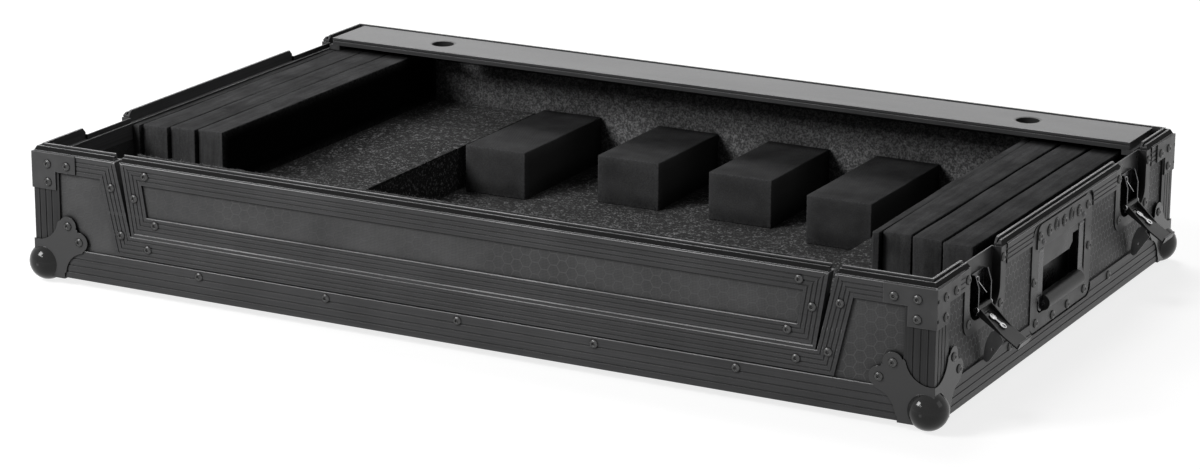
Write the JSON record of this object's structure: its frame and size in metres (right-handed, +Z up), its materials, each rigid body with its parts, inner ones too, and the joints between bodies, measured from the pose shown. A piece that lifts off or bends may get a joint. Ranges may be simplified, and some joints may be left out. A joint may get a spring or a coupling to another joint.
{
  "type": "flight case base",
  "caption": "Shallow laminated flight case base with lift-out front panel, rear cover, foam-lined tray, open draw latches, end handle and wheels.",
  "frame": {"origin": "on the ground, under the middle of the case", "axes": "+X along the width towards the handle end, -Y is the front with the lift-out panel, +Z up"},
  "size_m": [1.0074, 0.6108, 0.136],
  "materials": {
    "laminate": "satin embossed laminate",
    "floor_panel": "satin laminate",
    "plywood": "raw plywood",
    "edging": "dark anodised, grooved",
    "fittings": "satin dark grey coating",
    "ball_coat": "glossy black coating",
    "rivet_black": "black coated rivets",
    "zinc": "zinc plated steel",
    "bright": "bright nickel plate",
    "foam": "closed cell foam",
    "carpet": "needle felt carpet",
    "lining": "thin black lining",
    "cover": "smooth grey laminate",
    "grip": "moulded grip",
    "feet": "black rubber",
    "tyre": "solid tyre",
    "hub": "moulded hub"
  },
  "bodies": {
    "case": {"bottom_board": "floor_panel", "front_board": "laminate", "rear_board": "laminate", "left_board": "laminate", "right_board": "laminate", "bottom_edging": "edging", "corner_posts": "edging", "rim_front": "edging", "rim_rear": "edging", "rim_left": "edging", "rim_right": "edging", "opening_trim": "edging", "corner_brackets": "fittings", "ball_corners": "ball_coat", "body_rivets": "rivet_black", "fitting_rivets": "rivet_black", "latch_dishes": "fittings", "latch_brackets": "zinc", "latch_pins": "bright", "latch_springs": "bright", "handle_dish": "fittings", "handle_stop": "fittings", "handle_pins": "bright", "wheel_wells": "fittings", "wheel_axles": "zinc", "platforms": "plywood", "carpet_floor": "carpet", "carpet_walls": "carpet", "carpet_platforms": "carpet", "side_linings": "lining", "foam_left": "foam", "foam_right": "foam", "foam_blocks": "foam", "cover_rests": "plywood", "rubber_feet": "feet"},
    "front_panel": {"panel_board": "laminate", "panel_lining": "carpet", "panel_rim": "edging", "panel_frame": "edging", "panel_rivets": "rivet_black"},
    "rear_cover": {"cover_board": "cover", "cover_trim": "edging"},
    "handle": {"handle_bail": "zinc", "handle_grip": "grip"},
    "wheel_front": {"wheel_hub_front": "hub", "wheel_tyre_front": "tyre"},
    "wheel_rear": {"wheel_hub_rear": "hub", "wheel_tyre_rear": "tyre"},
    "arm_rf": {"latch_arm_rf": "fittings"},
    "cam_rf": {"latch_cam_rf": "bright"},
    "wing_rf": {"latch_wing_rf": "fittings"},
    "arm_rr": {"latch_arm_rr": "fittings"},
    "cam_rr": {"latch_cam_rr": "bright"},
    "wing_rr": {"latch_wing_rr": "fittings"},
    "arm_lf": {"latch_arm_lf": "fittings"},
    "cam_lf": {"latch_cam_lf": "bright"},
    "wing_lf": {"latch_wing_lf": "fittings"},
    "arm_lr": {"latch_arm_lr": "fittings"},
    "cam_lr": {"latch_cam_lr": "bright"},
    "wing_lr": {"latch_wing_lr": "fittings"}
  },
  "joints": [
    {"name": "panel_lift", "type": "slide", "parent": "case", "child": "front_panel", "axis": [0, 0, 1], "range_m": [0, 0.1]},
    {"name": "cover_lift", "type": "slide", "parent": "case", "child": "rear_cover", "axis": [0, 0, 1], "range_m": [0, 0.06]},
    {"name": "handle_swing", "type": "hinge", "parent": "case", "child": "handle", "pos_m": [0.4608, 0, 0.1], "axis": [0, -1, 0], "range_deg": [0, 90], "stiffness_Nm_per_rad": 0.12},
    {"name": "wheel_spin_front", "type": "hinge", "parent": "case", "child": "wheel_front", "pos_m": [-0.458, -0.13, 0.026], "axis": [0, 1, 0], "continuous": true},
    {"name": "wheel_spin_rear", "type": "hinge", "parent": "case", "child": "wheel_rear", "pos_m": [-0.458, 0.13, 0.026], "axis": [0, 1, 0], "continuous": true},
    {"name": "arm_swing_rf", "type": "hinge", "parent": "case", "child": "arm_rf", "pos_m": [0.4625, -0.185, 0.085], "axis": [0, -1, 0], "range_deg": [0, 123.4]},
    {"name": "cam_turn_rf", "type": "hinge", "parent": "arm_rf", "child": "cam_rf", "pos_m": [0.48048, -0.185, 0.06776], "axis": [0.5505, 0, 0.8348], "range_deg": [-15, 15]},
    {"name": "wing_fold_rf", "type": "hinge", "parent": "cam_rf", "child": "wing_rf", "pos_m": [0.47822, -0.185, 0.06433], "axis": [0.8348, 0, -0.5505], "range_deg": [-90, 90]},
    {"name": "arm_swing_rr", "type": "hinge", "parent": "case", "child": "arm_rr", "pos_m": [0.4625, 0.185, 0.085], "axis": [0, -1, 0], "range_deg": [0, 123.4]},
    {"name": "cam_turn_rr", "type": "hinge", "parent": "arm_rr", "child": "cam_rr", "pos_m": [0.48048, 0.185, 0.06776], "axis": [0.5505, 0, 0.8348], "range_deg": [-15, 15]},
    {"name": "wing_fold_rr", "type": "hinge", "parent": "cam_rr", "child": "wing_rr", "pos_m": [0.47822, 0.185, 0.06433], "axis": [0.8348, 0, -0.5505], "range_deg": [-90, 90]},
    {"name": "arm_swing_lf", "type": "hinge", "parent": "case", "child": "arm_lf", "pos_m": [-0.4625, -0.185, 0.085], "axis": [0, 1, 0], "range_deg": [0, 123.4]},
    {"name": "cam_turn_lf", "type": "hinge", "parent": "arm_lf", "child": "cam_lf", "pos_m": [-0.48048, -0.185, 0.06776], "axis": [-0.5505, 0, 0.8348], "range_deg": [-15, 15]},
    {"name": "wing_fold_lf", "type": "hinge", "parent": "cam_lf", "child": "wing_lf", "pos_m": [-0.47822, -0.185, 0.06433], "axis": [-0.8348, 0, -0.5505], "range_deg": [-90, 90]},
    {"name": "arm_swing_lr", "type": "hinge", "parent": "case", "child": "arm_lr", "pos_m": [-0.4625, 0.185, 0.085], "axis": [0, 1, 0], "range_deg": [0, 123.4]},
    {"name": "cam_turn_lr", "type": "hinge", "parent": "arm_lr", "child": "cam_lr", "pos_m": [-0.48048, 0.185, 0.06776], "axis": [-0.5505, 0, 0.8348], "range_deg": [-15, 15]},
    {"name": "wing_fold_lr", "type": "hinge", "parent": "cam_lr", "child": "wing_lr", "pos_m": [-0.47822, 0.185, 0.06433], "axis": [-0.8348, 0, -0.5505], "range_deg": [-90, 90]}
  ]
}
